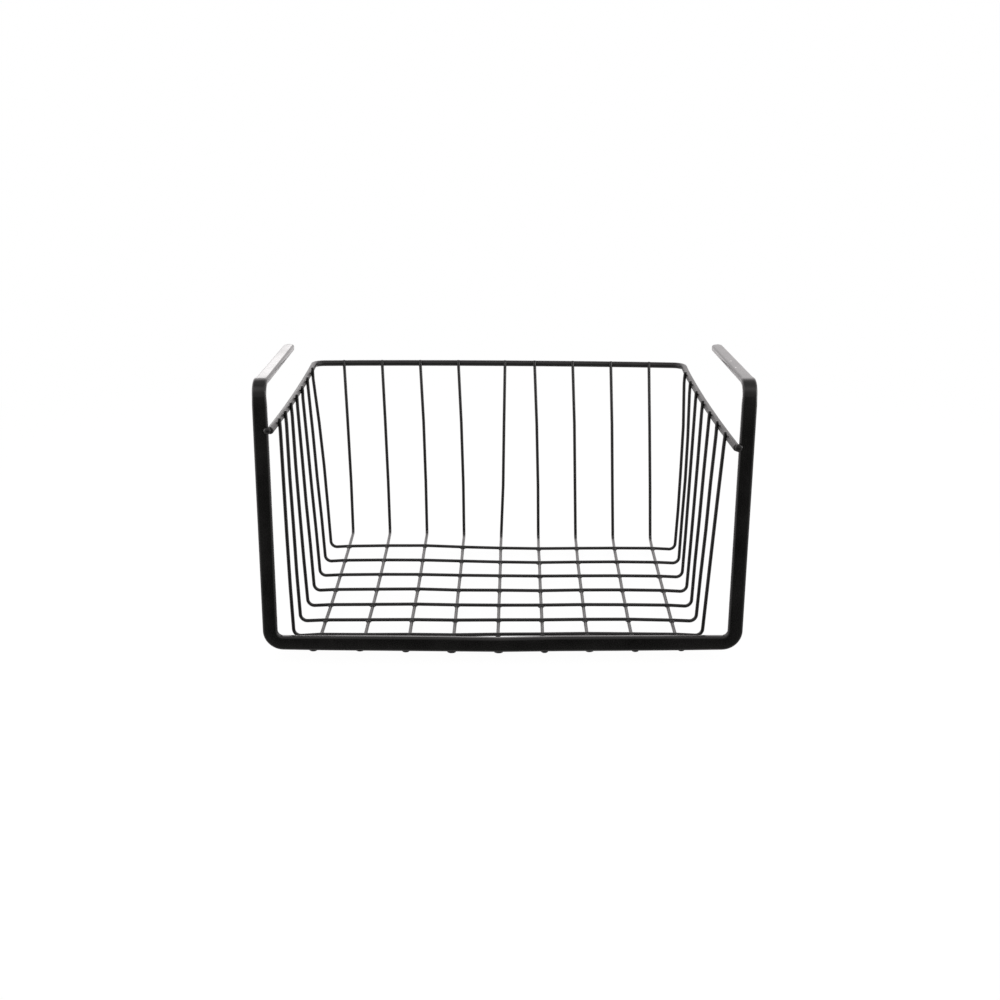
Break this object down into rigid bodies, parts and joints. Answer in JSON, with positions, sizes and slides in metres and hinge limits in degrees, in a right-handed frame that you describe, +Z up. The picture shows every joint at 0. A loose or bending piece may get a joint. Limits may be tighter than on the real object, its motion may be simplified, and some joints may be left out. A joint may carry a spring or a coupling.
{
  "type": "under-shelf hanging basket",
  "caption": "Black wire basket with an open front, welded to a bent steel hanger whose two flat arms rest on a shelf above it.",
  "frame": {"origin": "bottom centre of the whole basket, on the underside of the floor wires", "axes": "+X to the right along the width, +Y to the back wall, +Z up; the open front faces -Y"},
  "size_m": [0.3, 0.2371, 0.174],
  "materials": {
    "hanger_coat": "black powder coat, semi-gloss",
    "rim_coat": "black powder coat, semi-gloss",
    "mesh_coat": "black powder coat, semi-gloss"
  },
  "bodies": {
    "root": {"hanger_frame": "hanger_coat", "rim_wire": "rim_coat", "cross_wire_1": "mesh_coat", "cross_wire_2": "mesh_coat", "cross_wire_3": "mesh_coat", "cross_wire_4": "mesh_coat", "cross_wire_5": "mesh_coat", "cross_wire_6": "mesh_coat", "cross_wire_7": "mesh_coat", "long_wire_1": "mesh_coat", "long_wire_2": "mesh_coat", "long_wire_3": "mesh_coat", "long_wire_4": "mesh_coat", "long_wire_5": "mesh_coat", "long_wire_6": "mesh_coat", "long_wire_7": "mesh_coat", "long_wire_8": "mesh_coat", "long_wire_9": "mesh_coat"}
  },
  "joints": []
}
